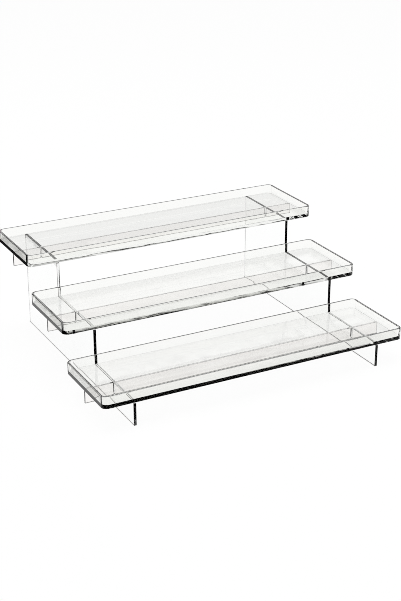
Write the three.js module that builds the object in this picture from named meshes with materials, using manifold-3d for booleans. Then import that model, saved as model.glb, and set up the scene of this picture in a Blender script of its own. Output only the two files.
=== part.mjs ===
// A clear acrylic display riser: three open trays stand on two stair-cut side panels that crossbars slot into.
// Sizes are millimetres, +Z is up, the front faces -Y, and the origin is on the table under the stand's middle.
import * as THREE from 'three';
import { mergeVertices } from 'three/addons/utils/BufferGeometryUtils.js';
import Module from 'manifold-3d';

const wasm = await Module();
wasm.setup();

// Trays, each one moulding with a low wall all round
const trayLength = 400;
const trayDepth = 107;
const trayHeight = 15;
const trayWall = 3;
const trayFloor = 4.1;
const trayCornerRadius = 7;
const trayInsideCornerRadius = 5;
const trayEdgeRadius = 0.8;
const trayInsideFillet = 0.2;
const trayDraft = THREE.MathUtils.degToRad(3);

// Stair that the side panels are cut to, one tread for each tray
const tierNames = ['bottom', 'middle', 'top'];
const lowestTread = 28;
const treadRise = 46;
const trayPlay = 0.5;
const restGap = 0.1;

// Side panels and crossbars, cut from flat sheet
const panelThickness = 3.5;
const panelInset = 36.25;
const barThickness = 3;
const barHeight = 15.5;
const barEndInset = 0.5;
const sheetEdgeBreak = 0.3;

// Lap joints where a crossbar drops into a side panel, with a round end to every slot
const barSlotDepth = 4;
const lapPlay = 0.3;
const seatGap = 0.1;

// Steps in each quarter of a round corner, and in each half round of a slot
const cornerSteps = 8;
const slotSteps = 12;
const edgeSteps = 3;
const chamferSteps = 1;

const quarterTurn = Math.PI / 2;
const halfTurn = Math.PI;

// Places worked out from the sizes above
const treadDepth = trayDepth + trayPlay;
const standDepth = treadDepth * tierNames.length;
const panelCentre = trayLength / 2 - panelInset - panelThickness / 2;
const barLength = trayLength - 2 * barEndInset;
const tiers = tierNames.map((name, step) => ({
  name,
  height: lowestTread + step * treadRise,
  front: step * treadDepth - standDepth / 2,
  middle: (step + 0.5) * treadDepth - standDepth / 2,
  back: (step + 1) * treadDepth - standDepth / 2,
}));

const panelAcrylic = new THREE.MeshStandardMaterial({
  color: 0xf1f3f1,
  roughness: 0.05,
  metalness: 0,
  transparent: true,
  opacity: 0.25,
});
const barAcrylic = new THREE.MeshStandardMaterial({
  color: 0xece8e6,
  roughness: 0.06,
  metalness: 0,
  transparent: true,
  opacity: 0.28,
});
const trayAcrylic = new THREE.MeshStandardMaterial({
  color: 0xebece6,
  roughness: 0.04,
  metalness: 0,
  transparent: true,
  opacity: 0.3,
});

// Turns a closed geometry into a solid that can be cut
function toSolid(geometry) {
  const bare = geometry.clone();
  bare.deleteAttribute('normal');
  bare.deleteAttribute('uv');
  const welded = mergeVertices(bare);
  const vertProperties = new Float32Array(welded.attributes.position.array);
  const triVerts = new Uint32Array(welded.index.array);
  return new wasm.Manifold(new wasm.Mesh({ numProp: 3, vertProperties, triVerts }));
}

// Turns a cut solid back into a geometry
function toGeometry(solid) {
  const { vertProperties, triVerts } = solid.getMesh();
  const geometry = new THREE.BufferGeometry();
  geometry.setAttribute('position', new THREE.BufferAttribute(vertProperties, 3));
  geometry.setIndex(new THREE.BufferAttribute(triVerts, 1));
  geometry.computeVertexNormals();
  return geometry;
}

// A rectangle about the origin with round corners
function roundedRectangle(length, depth, radius) {
  const x = length / 2 - radius;
  const y = depth / 2 - radius;
  const outline = new THREE.Shape();
  outline.absarc(x, -y, radius, -quarterTurn, 0);
  outline.absarc(x, y, radius, 0, quarterTurn);
  outline.absarc(-x, y, radius, quarterTurn, halfTurn);
  outline.absarc(-x, -y, radius, halfTurn, halfTurn + quarterTurn);
  return outline;
}

// An upright block of this outline, standing on z = 0, with its top and bottom edges rounded
function roundedBlock(outline, height, edgeRadius) {
  const block = new THREE.ExtrudeGeometry(outline, {
    depth: height - 2 * edgeRadius,
    bevelThickness: edgeRadius,
    bevelSize: edgeRadius,
    bevelOffset: -edgeRadius,
    bevelSegments: edgeSteps,
    curveSegments: cornerSteps,
  });
  return block.translate(0, 0, edgeRadius);
}

// A flat piece of sheet, centred on its thickness, with a small chamfer along every cut edge
function cutSheet(outline, thickness) {
  const sheet = new THREE.ExtrudeGeometry(outline, {
    depth: thickness - 2 * sheetEdgeBreak,
    bevelThickness: sheetEdgeBreak,
    bevelSize: sheetEdgeBreak,
    bevelOffset: -sheetEdgeBreak,
    bevelSegments: chamferSteps,
    curveSegments: slotSteps,
  });
  return sheet.translate(0, 0, sheetEdgeBreak - thickness / 2);
}

// Half the width of the slot that a sheet of this thickness slides into
function slotRadius(thickness) {
  return (thickness + lapPlay) / 2;
}

// How far above a round slot end a sheet's square edge comes to rest
function seatRise(thickness) {
  return slotRadius(thickness) - Math.sqrt(slotRadius(thickness) ** 2 - (thickness / 2) ** 2);
}

// The panel's notch takes what the bar's slot leaves, and both round ends need room
const notchDepth =
  barHeight - barSlotDepth + seatRise(barThickness) + seatRise(panelThickness) + seatGap;

// The stair outline of a side panel, with a round-ended notch in the middle of every tread
function panelOutline() {
  const radius = slotRadius(barThickness);
  const outline = new THREE.Shape();
  outline.moveTo(-standDepth / 2, 0);
  outline.lineTo(standDepth / 2, 0);
  for (const tier of [...tiers].reverse()) {
    const notchEnd = tier.height - notchDepth + radius;
    outline.lineTo(tier.back, tier.height);
    outline.lineTo(tier.middle + radius, tier.height);
    outline.absarc(tier.middle, notchEnd, radius, 0, -halfTurn, true);
    outline.lineTo(tier.middle - radius, tier.height);
    outline.lineTo(tier.front, tier.height);
  }
  return outline;
}

// The outline of a crossbar standing on z = 0, with a round-ended slot over each side panel
function barOutline() {
  const radius = slotRadius(panelThickness);
  const slotEnd = barSlotDepth - radius;
  const outline = new THREE.Shape();
  outline.moveTo(-barLength / 2, 0);
  for (const slotCentre of [-panelCentre, panelCentre]) {
    outline.lineTo(slotCentre - radius, 0);
    outline.absarc(slotCentre, slotEnd, radius, halfTurn, 0, true);
    outline.lineTo(slotCentre + radius, 0);
  }
  outline.lineTo(barLength / 2, 0);
  outline.lineTo(barLength / 2, barHeight);
  outline.lineTo(-barLength / 2, barHeight);
  return outline;
}

// Leans the upright sides of a block in towards the middle below this height, and out above it
function leanIn(block, height, angle) {
  const points = block.attributes.position;
  for (let index = 0; index < points.count; index += 1) {
    const lean = (height - points.getZ(index)) * Math.tan(angle);
    points.setX(index, points.getX(index) - Math.sign(points.getX(index)) * lean);
    points.setY(index, points.getY(index) - Math.sign(points.getY(index)) * lean);
  }
  return block;
}

// One tray standing on z = 0: a rounded block with a drafted, filleted pocket sunk in it from above
function trayGeometry() {
  const insideLength = trayLength - 2 * trayWall;
  const insideDepth = trayDepth - 2 * trayWall;
  const outside = roundedRectangle(trayLength, trayDepth, trayCornerRadius);
  const inside = roundedRectangle(insideLength, insideDepth, trayInsideCornerRadius);
  const block = roundedBlock(outside, trayHeight, trayEdgeRadius);
  const pocket = roundedBlock(inside, trayHeight, trayInsideFillet).translate(0, 0, trayFloor);
  leanIn(pocket, trayHeight - trayEdgeRadius, trayDraft);
  return toGeometry(toSolid(block).subtract(toSolid(pocket)));
}

const stand = new THREE.Group();

// Side panels: the sheet's outline is turned up so that it stands across the stand's depth
const panelGeometry = cutSheet(panelOutline(), panelThickness);
for (const [name, side] of [['left_side_panel', -1], ['right_side_panel', 1]]) {
  const panel = new THREE.Mesh(panelGeometry, panelAcrylic);
  panel.name = name;
  panel.position.x = side * panelCentre;
  panel.rotation.set(quarterTurn, 0, quarterTurn, 'ZYX');
  stand.add(panel);
}

// Each tier: a crossbar level with the treads, and the tray that lies on both
const crossbarGeometry = cutSheet(barOutline(), barThickness);
const oneTrayGeometry = trayGeometry();
for (const tier of tiers) {
  const level = new THREE.Group();
  level.position.set(0, tier.middle, tier.height);
  stand.add(level);

  const crossbar = new THREE.Mesh(crossbarGeometry, barAcrylic);
  crossbar.name = `${tier.name}_crossbar`;
  crossbar.position.z = -barHeight;
  crossbar.rotation.x = quarterTurn;
  level.add(crossbar);

  const tray = new THREE.Mesh(oneTrayGeometry, trayAcrylic);
  tray.name = `${tier.name}_tray`;
  tray.position.z = restGap;
  level.add(tray);
}

export default stand;
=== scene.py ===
# A three-step display riser in clear acrylic, standing on a white table.
# Lengths are metres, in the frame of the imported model: +X right, +Y to the back, +Z up.
import math

import bmesh
import bpy
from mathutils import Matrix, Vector


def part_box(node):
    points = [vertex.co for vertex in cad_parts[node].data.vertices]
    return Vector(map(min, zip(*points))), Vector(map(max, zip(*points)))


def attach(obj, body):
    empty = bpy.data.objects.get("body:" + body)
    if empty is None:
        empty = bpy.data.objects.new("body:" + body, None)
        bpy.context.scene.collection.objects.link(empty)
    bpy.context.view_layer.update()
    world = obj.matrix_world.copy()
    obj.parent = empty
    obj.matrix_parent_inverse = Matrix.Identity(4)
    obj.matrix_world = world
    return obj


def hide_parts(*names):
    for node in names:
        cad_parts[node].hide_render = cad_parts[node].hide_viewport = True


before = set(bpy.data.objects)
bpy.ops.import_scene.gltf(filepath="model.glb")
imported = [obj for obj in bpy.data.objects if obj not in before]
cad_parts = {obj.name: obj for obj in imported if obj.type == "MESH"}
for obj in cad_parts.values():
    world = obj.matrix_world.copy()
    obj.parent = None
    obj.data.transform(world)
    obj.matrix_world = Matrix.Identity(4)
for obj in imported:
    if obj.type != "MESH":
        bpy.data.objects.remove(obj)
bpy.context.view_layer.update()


# The side panels
# Two stair-cut pieces of 3.5 mm clear cast sheet. Laser cutting leaves their edges glossy, with fine lines.
# They stand on their straight lower edges, and every tread has a round-ended notch for a crossbar.
tier_names = ("bottom", "middle", "top")
panel_names = ("left_side_panel", "right_side_panel")
lap_play = 0.0003
notch_depth = 0.01372
slot_steps = 16
arris_radius = 0.0003
arris_steps = 3
even_round = 0.5
sharp_corner = math.radians(40)
flat_face_hold = 100

# How squarely a face looks along the sheet's thickness: the least for a broad face, the most for a square cut
broad_face = 0.99
square_cut = 0.1


def half_round(centre, end_height, radius, down):
    """The points of a round slot end from its +u side to its -u side, bulging down or up."""
    turn = -math.pi if down else math.pi
    angles = [turn * step / slot_steps for step in range(slot_steps + 1)]
    return [(centre + radius * math.cos(a), end_height + radius * math.sin(a)) for a in angles]


def stair_outline(panel_low, panel_high):
    """The panel seen from its side as (y, z) points, counter-clockwise from its lower front corner."""
    tread_depth = (panel_high.y - panel_low.y) / len(tier_names)
    outline = [(panel_low.y, panel_low.z), (panel_high.y, panel_low.z)]
    for step in reversed(range(len(tier_names))):
        bar_low, bar_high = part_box(f"{tier_names[step]}_crossbar")
        tread = bar_high.z
        notch_middle = (bar_low.y + bar_high.y) / 2
        notch_radius = (bar_high.y - bar_low.y + lap_play) / 2
        back = panel_low.y + (step + 1) * tread_depth
        outline.append((back, tread))
        outline.append((notch_middle + notch_radius, tread))
        outline += half_round(notch_middle, tread - notch_depth + notch_radius, notch_radius, True)
        outline.append((notch_middle - notch_radius, tread))
        outline.append((back - tread_depth, tread))
    return outline


def new_shape():
    """An empty shape whose faces can be marked as a cut edge and for a painted dark line of shade."""
    shape = bmesh.new()
    return shape, shape.faces.layers.float.new("cut_edge"), shape.faces.layers.float.new("painted_dark_line")


def cut_from_sheet(name, outline, near, far, lay):
    """A flat piece of this outline between two depths, with the arrises of every cut rounded over."""
    cut, cut_edge, painted_dark_line = new_shape()
    sides = [[cut.verts.new(lay(u, v, depth)) for u, v in outline] for depth in (near, far)]
    faces = [cut.faces.new(side) for side in sides]
    rims = [edge for face in faces for edge in face.edges]
    for here in range(len(outline)):
        there = (here + 1) % len(outline)
        cut.faces.new((sides[0][here], sides[0][there], sides[1][there], sides[1][here]))
    bmesh.ops.recalc_face_normals(cut, faces=cut.faces)
    bmesh.ops.bevel(
        cut,
        geom=rims,
        offset=arris_radius,
        segments=arris_steps,
        profile=even_round,
        affect="EDGES",
    )
    across = Vector(lay(0, 0, 1)) - Vector(lay(0, 0, 0))
    for face in cut.faces:
        squareness = abs(face.normal.dot(across))
        face[cut_edge] = float(squareness < broad_face)
        # Arris faces are marked for the dark line of shade that the material paints on them.
        face[painted_dark_line] = float(square_cut < squareness < broad_face)
    return finished_piece(name, cut)


def finished_piece(name, shape):
    """Turns a built shape into an object with flat broad faces and smooth rounded edges."""
    for face in shape.faces:
        face.smooth = True
    for edge in shape.edges:
        edge.smooth = edge.calc_face_angle(0.0) < sharp_corner
    mesh = bpy.data.meshes.new(name)
    shape.to_mesh(mesh)
    shape.free()
    piece = bpy.data.objects.new(name, mesh)
    bpy.context.scene.collection.objects.link(piece)
    flat_faces = piece.modifiers.new("flat_faces", "WEIGHTED_NORMAL")
    flat_faces.keep_sharp = True
    flat_faces.weight = flat_face_hold
    return piece


# The acrylic itself: soft clouds and long rubs on its faces, fine lines on its cut edges, and painted shade
# as dark lines on its arrises and rim tops
acrylic_ior = 1.491
acrylic_mirror_tint = (0.1, 0.1, 0.1)
acrylic_density = 0.8
noise_low = 0.3
noise_high = 0.7
cloud_waves = (16, 16, 16)
cloud_detail = 2
cloud_ripple = 0.0003
rub_waves = (35, 420, 420)
rub_detail = 4
rub_roughness = (0.004, 0.03)
cut_line_detail = 1
cut_line_depth = 0.00005


def grain(tree, waves, detail):
    """A soft noise in the piece's own frame, with this many waves per metre along x, y and z."""
    place = tree.nodes.new("ShaderNodeTexCoord")
    stretch = tree.nodes.new("ShaderNodeMapping")
    stretch.inputs["Scale"].default_value = waves
    noise = tree.nodes.new("ShaderNodeTexNoise")
    noise.inputs["Scale"].default_value = 1
    noise.inputs["Detail"].default_value = detail
    tree.links.new(place.outputs["Object"], stretch.inputs["Vector"])
    tree.links.new(stretch.outputs["Vector"], noise.inputs["Vector"])
    return noise.outputs["Fac"]


def between(tree, noise, low, high):
    """The noise spread over a range of values."""
    spread = tree.nodes.new("ShaderNodeMapRange")
    spread.inputs["From Min"].default_value = noise_low
    spread.inputs["From Max"].default_value = noise_high
    spread.inputs["To Min"].default_value = low
    spread.inputs["To Max"].default_value = high
    tree.links.new(noise, spread.inputs["Value"])
    return spread.outputs["Result"]


def tinted(tree, noise, pale, deep):
    """A colour that wanders between two tints with the noise."""
    wander = tree.nodes.new("ShaderNodeValToRGB")
    wander.color_ramp.elements[0].position = noise_low
    wander.color_ramp.elements[0].color = (*pale, 1)
    wander.color_ramp.elements[1].position = noise_high
    wander.color_ramp.elements[1].color = (*deep, 1)
    tree.links.new(noise, wander.inputs["Fac"])
    return wander.outputs["Color"]


def marked(tree, mark):
    """How far a face carries this mark, from 0 to 1."""
    attribute = tree.nodes.new("ShaderNodeAttribute")
    attribute.attribute_name = mark
    return attribute.outputs["Fac"]


def mixed(tree, kind, share, first, second):
    """Two values or colours mixed, with this share of the second."""
    mix = tree.nodes.new("ShaderNodeMix")
    mix.data_type = kind
    tree.links.new(share, mix.inputs["Factor"])
    tree.links.new(first, mix.inputs["A"])
    tree.links.new(second, mix.inputs["B"])
    return mix.outputs["Result"]


def clear_acrylic(name, face_tints, painted_shade_arris_tints, edge_roughness, edge_waves, body_colour):
    """Clear acrylic: wavy and rubbed on its faces, finely lined on its cuts, and painted with dark lines of
    shade on its marked faces.
    """
    acrylic = bpy.data.materials.new(name)
    acrylic.use_nodes = True
    tree = acrylic.node_tree
    surface = tree.nodes["Principled BSDF"]
    surface.inputs["Transmission Weight"].default_value = 1
    surface.inputs["IOR"].default_value = acrylic_ior
    surface.inputs["Specular Tint"].default_value = (*acrylic_mirror_tint, 1)
    edge = marked(tree, "cut_edge")
    painted_dark_line = marked(tree, "painted_dark_line")
    cloud = grain(tree, cloud_waves, cloud_detail)
    rubs = grain(tree, rub_waves, rub_detail)
    lines = grain(tree, edge_waves, cut_line_detail)

    face_colour = tinted(tree, cloud, *face_tints)
    # Painted shade: the marked faces are coloured dark, standing in for the dark lines that clear acrylic
    # shows along its edges.
    painted_shade_arris_colour = tinted(tree, lines, *painted_shade_arris_tints)
    tree.links.new(mixed(tree, "RGBA", painted_dark_line, face_colour, painted_shade_arris_colour), surface.inputs["Base Color"])

    face_dullness = between(tree, rubs, *rub_roughness)
    edge_dullness = between(tree, lines, *edge_roughness)
    tree.links.new(mixed(tree, "FLOAT", edge, face_dullness, edge_dullness), surface.inputs["Roughness"])

    ripple = tree.nodes.new("ShaderNodeBump")
    ripple.inputs["Strength"].default_value = 1
    ripple.inputs["Distance"].default_value = cloud_ripple
    tree.links.new(cloud, ripple.inputs["Height"])
    cut_lines = tree.nodes.new("ShaderNodeBump")
    cut_lines.inputs["Distance"].default_value = cut_line_depth
    tree.links.new(edge, cut_lines.inputs["Strength"])
    tree.links.new(lines, cut_lines.inputs["Height"])
    tree.links.new(ripple.outputs["Normal"], cut_lines.inputs["Normal"])
    tree.links.new(cut_lines.outputs["Normal"], surface.inputs["Normal"])

    absorb = tree.nodes.new("ShaderNodeVolumeAbsorption")
    absorb.inputs["Color"].default_value = (*body_colour, 1)
    absorb.inputs["Density"].default_value = acrylic_density
    tree.links.new(absorb.outputs["Volume"], tree.nodes["Material Output"].inputs["Volume"])
    return acrylic


panel_acrylic = clear_acrylic(
    "panel_acrylic",
    face_tints=((0.992, 0.994, 0.992), (0.984, 0.988, 0.985)),
    # Painted shade: the panels' arrises are coloured near black.
    painted_shade_arris_tints=((0.02, 0.021, 0.02), (0.01, 0.01, 0.01)),
    edge_roughness=(0.008, 0.04),
    edge_waves=(60, 1400, 1400),
    body_colour=(0.35, 0.45, 0.35),
)
for panel_name in panel_names:
    panel_low, panel_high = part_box(panel_name)
    panel = cut_from_sheet(
        panel_name + "_sheet",
        stair_outline(panel_low, panel_high),
        panel_low.x,
        panel_high.x,
        lambda u, v, depth: (depth, u, v),
    )
    panel.data.materials.append(panel_acrylic)
    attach(panel, "side_panels")
    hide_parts(panel_name)


# The crossbars
# Strips of thinner clear sheet, 3 mm, set on edge under the middle of each tray and just shorter than it.
# A shallow round-ended slot over each panel keeps the panels upright and the right distance apart.
bar_slot_depth = 0.004


def bar_outline(bar_low, bar_high):
    """The crossbar seen from the front as (x, z) points, with its two slots in the lower edge."""
    outline = [(bar_low.x, bar_low.z)]
    for panel_name in panel_names:
        panel_low, panel_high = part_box(panel_name)
        slot_middle = (panel_low.x + panel_high.x) / 2
        slot_radius = (panel_high.x - panel_low.x + lap_play) / 2
        slot_end = bar_low.z + bar_slot_depth - slot_radius
        outline.append((slot_middle - slot_radius, bar_low.z))
        outline += reversed(half_round(slot_middle, slot_end, slot_radius, False))
        outline.append((slot_middle + slot_radius, bar_low.z))
    return outline + [(bar_high.x, bar_low.z), (bar_high.x, bar_high.z), (bar_low.x, bar_high.z)]


bar_acrylic = clear_acrylic(
    "crossbar_acrylic",
    face_tints=((0.95, 0.937, 0.928), (0.925, 0.907, 0.898)),
    # Painted shade: the crossbars' arrises are coloured grey.
    painted_shade_arris_tints=((0.6, 0.6, 0.6), (0.45, 0.45, 0.45)),
    edge_roughness=(0.06, 0.2),
    edge_waves=(1400, 60, 1400),
    body_colour=(0.4, 0.36, 0.34),
)
for tier in tier_names:
    bar_low, bar_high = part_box(f"{tier}_crossbar")
    bar = cut_from_sheet(
        f"{tier}_crossbar_strip",
        bar_outline(bar_low, bar_high),
        bar_low.y,
        bar_high.y,
        lambda u, v, depth: (u, depth, v),
    )
    bar.data.materials.append(bar_acrylic)
    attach(bar, f"{tier}_crossbar")
    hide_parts(f"{tier}_crossbar")


# The trays
# Each is one moulding in clear acrylic: a flat floor with a low wall all round, and round corners.
# It is not fixed: it lies on the treads and on the crossbar's top edge, and lifts off.
tray_wall = 0.003
tray_floor = 0.0041
tray_corner = 0.007
tray_inside_corner = 0.005
tray_foot_radius = 0.0008
tray_rim_radius = 0.0008
tray_inside_fillet = 0.0002
tray_draft = math.radians(3)
corner_steps = 14
edge_steps = 5
outer_rim_steps = 10

# The rim's flat top is duller than the rest, and painted darker as shade, as far in as this share of the
# wall's thickness
dull_shaded_rim_share = 0.7

# Each corner's side in x and in y, and the angle in degrees at which its quarter round starts
corner_sides = ((1, -1, 270), (1, 1, 0), (-1, 1, 90), (-1, -1, 180))
quarter_turn = 90


def edge_arc(inset, height, radius, start, end, steps):
    """A quarter round of the tray's section, as points of how far in from the outside and how high."""
    angles = [math.radians(start + (end - start) * step / steps) for step in range(steps + 1)]
    return [(inset + radius * math.cos(a), height + radius * math.sin(a)) for a in angles]


def tray_section(tray_height):
    """The wall cut through, from under the floor up the outside, over the rim and down to the floor's top.

    Each point is how far in it lies, how high, and how round the tray's corners are there.
    The point where the rim's flat top begins is given with them.
    """
    foot, rim, fillet = tray_foot_radius, tray_rim_radius, tray_inside_fillet
    outside = edge_arc(foot, foot, foot, 270, 180, edge_steps)
    outside += edge_arc(rim, tray_height - rim, rim, 180, 90, outer_rim_steps)
    inside = [(tray_wall * dull_shaded_rim_share, tray_height)]
    inside += edge_arc(tray_wall - rim, tray_height - rim, rim, 90, 0, edge_steps)
    lean = (tray_height - rim - tray_floor - fillet) * math.tan(tray_draft)
    floor_edge = edge_arc(tray_wall + lean + fillet, tray_floor + fillet, fillet, 180, 270, edge_steps)
    inside_centre = tray_inside_corner + tray_wall
    section = [(inset, height, tray_corner - inset) for inset, height in outside]
    section += [(inset, height, inside_centre - inset) for inset, height in inside]
    section += [(inset, height, inside_centre + lean - inset) for inset, height in floor_edge]
    return section, len(outside) - 1


def tray_ring(shape, low, high, inset, height, radius):
    """One ring of points round the tray, set in from its outside, with this round at its corners."""
    ring = []
    for x_side, y_side, start in corner_sides:
        x = (high.x if x_side > 0 else low.x) - x_side * (inset + radius)
        y = (high.y if y_side > 0 else low.y) - y_side * (inset + radius)
        for step in range(corner_steps + 1):
            a = math.radians(start + quarter_turn * step / corner_steps)
            point = (x + radius * math.cos(a), y + radius * math.sin(a), low.z + height)
            ring.append(shape.verts.new(point))
    return ring


tray_acrylic = clear_acrylic(
    "tray_acrylic",
    face_tints=((0.97, 0.972, 0.959), (0.956, 0.959, 0.943)),
    # Painted shade: the trays' rim tops are coloured near black.
    painted_shade_arris_tints=((0.03, 0.031, 0.03), (0.015, 0.015, 0.015)),
    edge_roughness=(0.03, 0.12),
    edge_waves=(500, 500, 500),
    body_colour=(0.35, 0.42, 0.3),
)
for tier in tier_names:
    tray_low, tray_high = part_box(f"{tier}_tray")
    moulding, cut_edge, painted_dark_line = new_shape()
    section, rim_top = tray_section(tray_high.z - tray_low.z)
    rings = [tray_ring(moulding, tray_low, tray_high, *place) for place in section]
    for step, (lower, upper) in enumerate(zip(rings, rings[1:])):
        for here in range(len(lower)):
            there = (here + 1) % len(lower)
            face = moulding.faces.new((lower[here], lower[there], upper[there], upper[here]))
            # The rim's flat top is marked dull, and for its painted dark line of shade.
            face[cut_edge] = face[painted_dark_line] = float(step == rim_top)
    moulding.faces.new(reversed(rings[0]))
    moulding.faces.new(rings[-1])
    bmesh.ops.recalc_face_normals(moulding, faces=moulding.faces)
    tray = finished_piece(f"{tier}_tray_moulding", moulding)
    tray.data.materials.append(tray_acrylic)
    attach(tray, f"{tier}_tray")
    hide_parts(f"{tier}_tray")


# The table and the light
# A white table top that ends just past the stand's left side, under a softbox, in a room with banded walls.
# It shows white to the camera and through the acrylic, and keeps a faint shadow of the stand.
table_left_end = -0.27
table_reach = 30
table_gap = 0.0002
table_white = 0.9
shown_white = 0.965
softbox_length = 2.4
softbox_depth = 1.8
softbox_power = 75
softbox_place = (0, 0.2, 2.4)

# The bands of the room's walls: each one's height, as a share of the wall's distance, and its brightness
wall_bands = (
    (0.0, 0.05),
    (0.02, 0.9),
    (0.36, 0.6),
    (0.38, 0.55),
    (0.4, 0.6),
    (0.412, 0.45),
    (0.43, 0.6),
    (0.445, 1.0),
    (0.466, 1.0),
    (0.475, 0.85),
    (0.488, 0.8),
    (0.51, 0.3),
    (0.53, 0.3),
    (0.536, 1.0),
    (0.545, 1.0),
    (0.553, 0.6),
    (0.57, 0.4),
    (0.65, 0.2),
    (1.0, 0.05),
)


def worked_out(tree, operation, *terms):
    """What this operation makes of the terms, each of them a socket or a plain number."""
    working = tree.nodes.new("ShaderNodeMath")
    working.operation = operation
    for socket, term in zip(working.inputs, terms):
        if isinstance(term, bpy.types.NodeSocket):
            tree.links.new(term, socket)
        else:
            socket.default_value = term
    return working.outputs["Value"]


table_corners = (
    (table_left_end, -table_reach),
    (table_reach, -table_reach),
    (table_reach, table_reach),
    (table_left_end, table_reach),
)
table_mesh = bpy.data.meshes.new("table_top")
table_mesh.from_pydata([(x, y, -table_gap) for x, y in table_corners], [], [(0, 1, 2, 3)])
table = bpy.data.objects.new("table_top", table_mesh)
bpy.context.scene.collection.objects.link(table)

table_paint = bpy.data.materials.new("table_white")
table_paint.use_nodes = True
paint = table_paint.node_tree
paint.nodes.remove(paint.nodes["Principled BSDF"])
matt = paint.nodes.new("ShaderNodeBsdfDiffuse")
matt.inputs["Color"].default_value = (table_white, table_white, table_white, 1)
glow = paint.nodes.new("ShaderNodeEmission")
path = paint.nodes.new("ShaderNodeLightPath")
seen = worked_out(paint, "MAXIMUM", path.outputs["Is Camera Ray"], path.outputs["Is Glossy Ray"])
looked_at = worked_out(paint, "MAXIMUM", seen, path.outputs["Is Transmission Ray"])
shown = paint.nodes.new("ShaderNodeMixShader")
paint.links.new(worked_out(paint, "MULTIPLY", looked_at, shown_white), shown.inputs["Fac"])
paint.links.new(matt.outputs["BSDF"], shown.inputs[1])
paint.links.new(glow.outputs["Emission"], shown.inputs[2])
paint.links.new(shown.outputs["Shader"], paint.nodes["Material Output"].inputs["Surface"])
table.data.materials.append(table_paint)

room = bpy.data.worlds.new("studio_room")
room.use_nodes = True
bpy.context.scene.world = room
walls = room.node_tree
direction = walls.nodes.new("ShaderNodeTexCoord")
parts = walls.nodes.new("ShaderNodeSeparateXYZ")
walls.links.new(direction.outputs["Generated"], parts.inputs["Vector"])
sideways = worked_out(walls, "ABSOLUTE", parts.outputs["X"])
forwards = worked_out(walls, "ABSOLUTE", parts.outputs["Y"])
wall_distance = worked_out(walls, "MAXIMUM", forwards, sideways)
wall_height = worked_out(walls, "DIVIDE", parts.outputs["Z"], wall_distance)
bands = walls.nodes.new("ShaderNodeValToRGB")
walls.links.new(wall_height, bands.inputs["Fac"])
for height, _ in wall_bands[1:-1]:
    bands.color_ramp.elements.new(height)
for stop, (height, brightness) in zip(bands.color_ramp.elements, wall_bands):
    stop.position = height
    stop.color = (brightness, brightness, brightness, 1)
path = walls.nodes.new("ShaderNodeLightPath")
unmirrored = worked_out(walls, "LESS_THAN", path.outputs["Glossy Depth"], 1)
seen_through = worked_out(walls, "MULTIPLY", path.outputs["Is Transmission Ray"], unmirrored)
looked_at = worked_out(walls, "MAXIMUM", path.outputs["Is Camera Ray"], seen_through)
white = walls.nodes.new("ShaderNodeMix")
white.data_type = "RGBA"
white.inputs["B"].default_value = (1, 1, 1, 1)
walls.links.new(looked_at, white.inputs["Factor"])
walls.links.new(bands.outputs["Color"], white.inputs["A"])
walls.links.new(white.outputs["Result"], walls.nodes["Background"].inputs["Color"])
walls.nodes["Background"].inputs["Strength"].default_value = 1

softbox_light = bpy.data.lights.new("softbox", "AREA")
softbox_light.shape = "RECTANGLE"
softbox_light.size = softbox_length
softbox_light.size_y = softbox_depth
softbox_light.energy = softbox_power
softbox = bpy.data.objects.new("softbox", softbox_light)
softbox.location = softbox_place
softbox.visible_glossy = False
softbox.visible_transmission = False
bpy.context.scene.collection.objects.link(softbox)


# The camera
# A longish lens, in front of the stand, to its left and above it, looking down on the trays.
# Light inside the acrylic is dropped after a few mirror bounces, which leaves its thin edges black.
view_azimuth = math.radians(-27.835)
view_elevation = math.radians(23.107)
view_distance = 1.621
view_aim = Vector((0.0016, -0.0068, 0.0607))
sensor_millimetres = 36
lens_millimetres = 77.86
all_bounces = 48
bounces_through = 40
mirror_bounces = 7
pixel_softness = 0.8

towards_camera = Vector((
    math.sin(view_azimuth) * math.cos(view_elevation),
    -math.cos(view_azimuth) * math.cos(view_elevation),
    math.sin(view_elevation),
))
lens = bpy.data.cameras.new("camera")
lens.sensor_width = sensor_millimetres
lens.lens = lens_millimetres
camera = bpy.data.objects.new("camera", lens)
camera.location = view_aim + towards_camera * view_distance
camera.rotation_mode = "QUATERNION"
camera.rotation_quaternion = (-towards_camera).to_track_quat("-Z", "Y")

scene = bpy.context.scene
scene.collection.objects.link(camera)
scene.camera = camera
scene.view_settings.view_transform = "Standard"
scene.cycles.max_bounces = all_bounces
scene.cycles.transmission_bounces = bounces_through
scene.cycles.glossy_bounces = mirror_bounces
scene.cycles.filter_width = pixel_softness
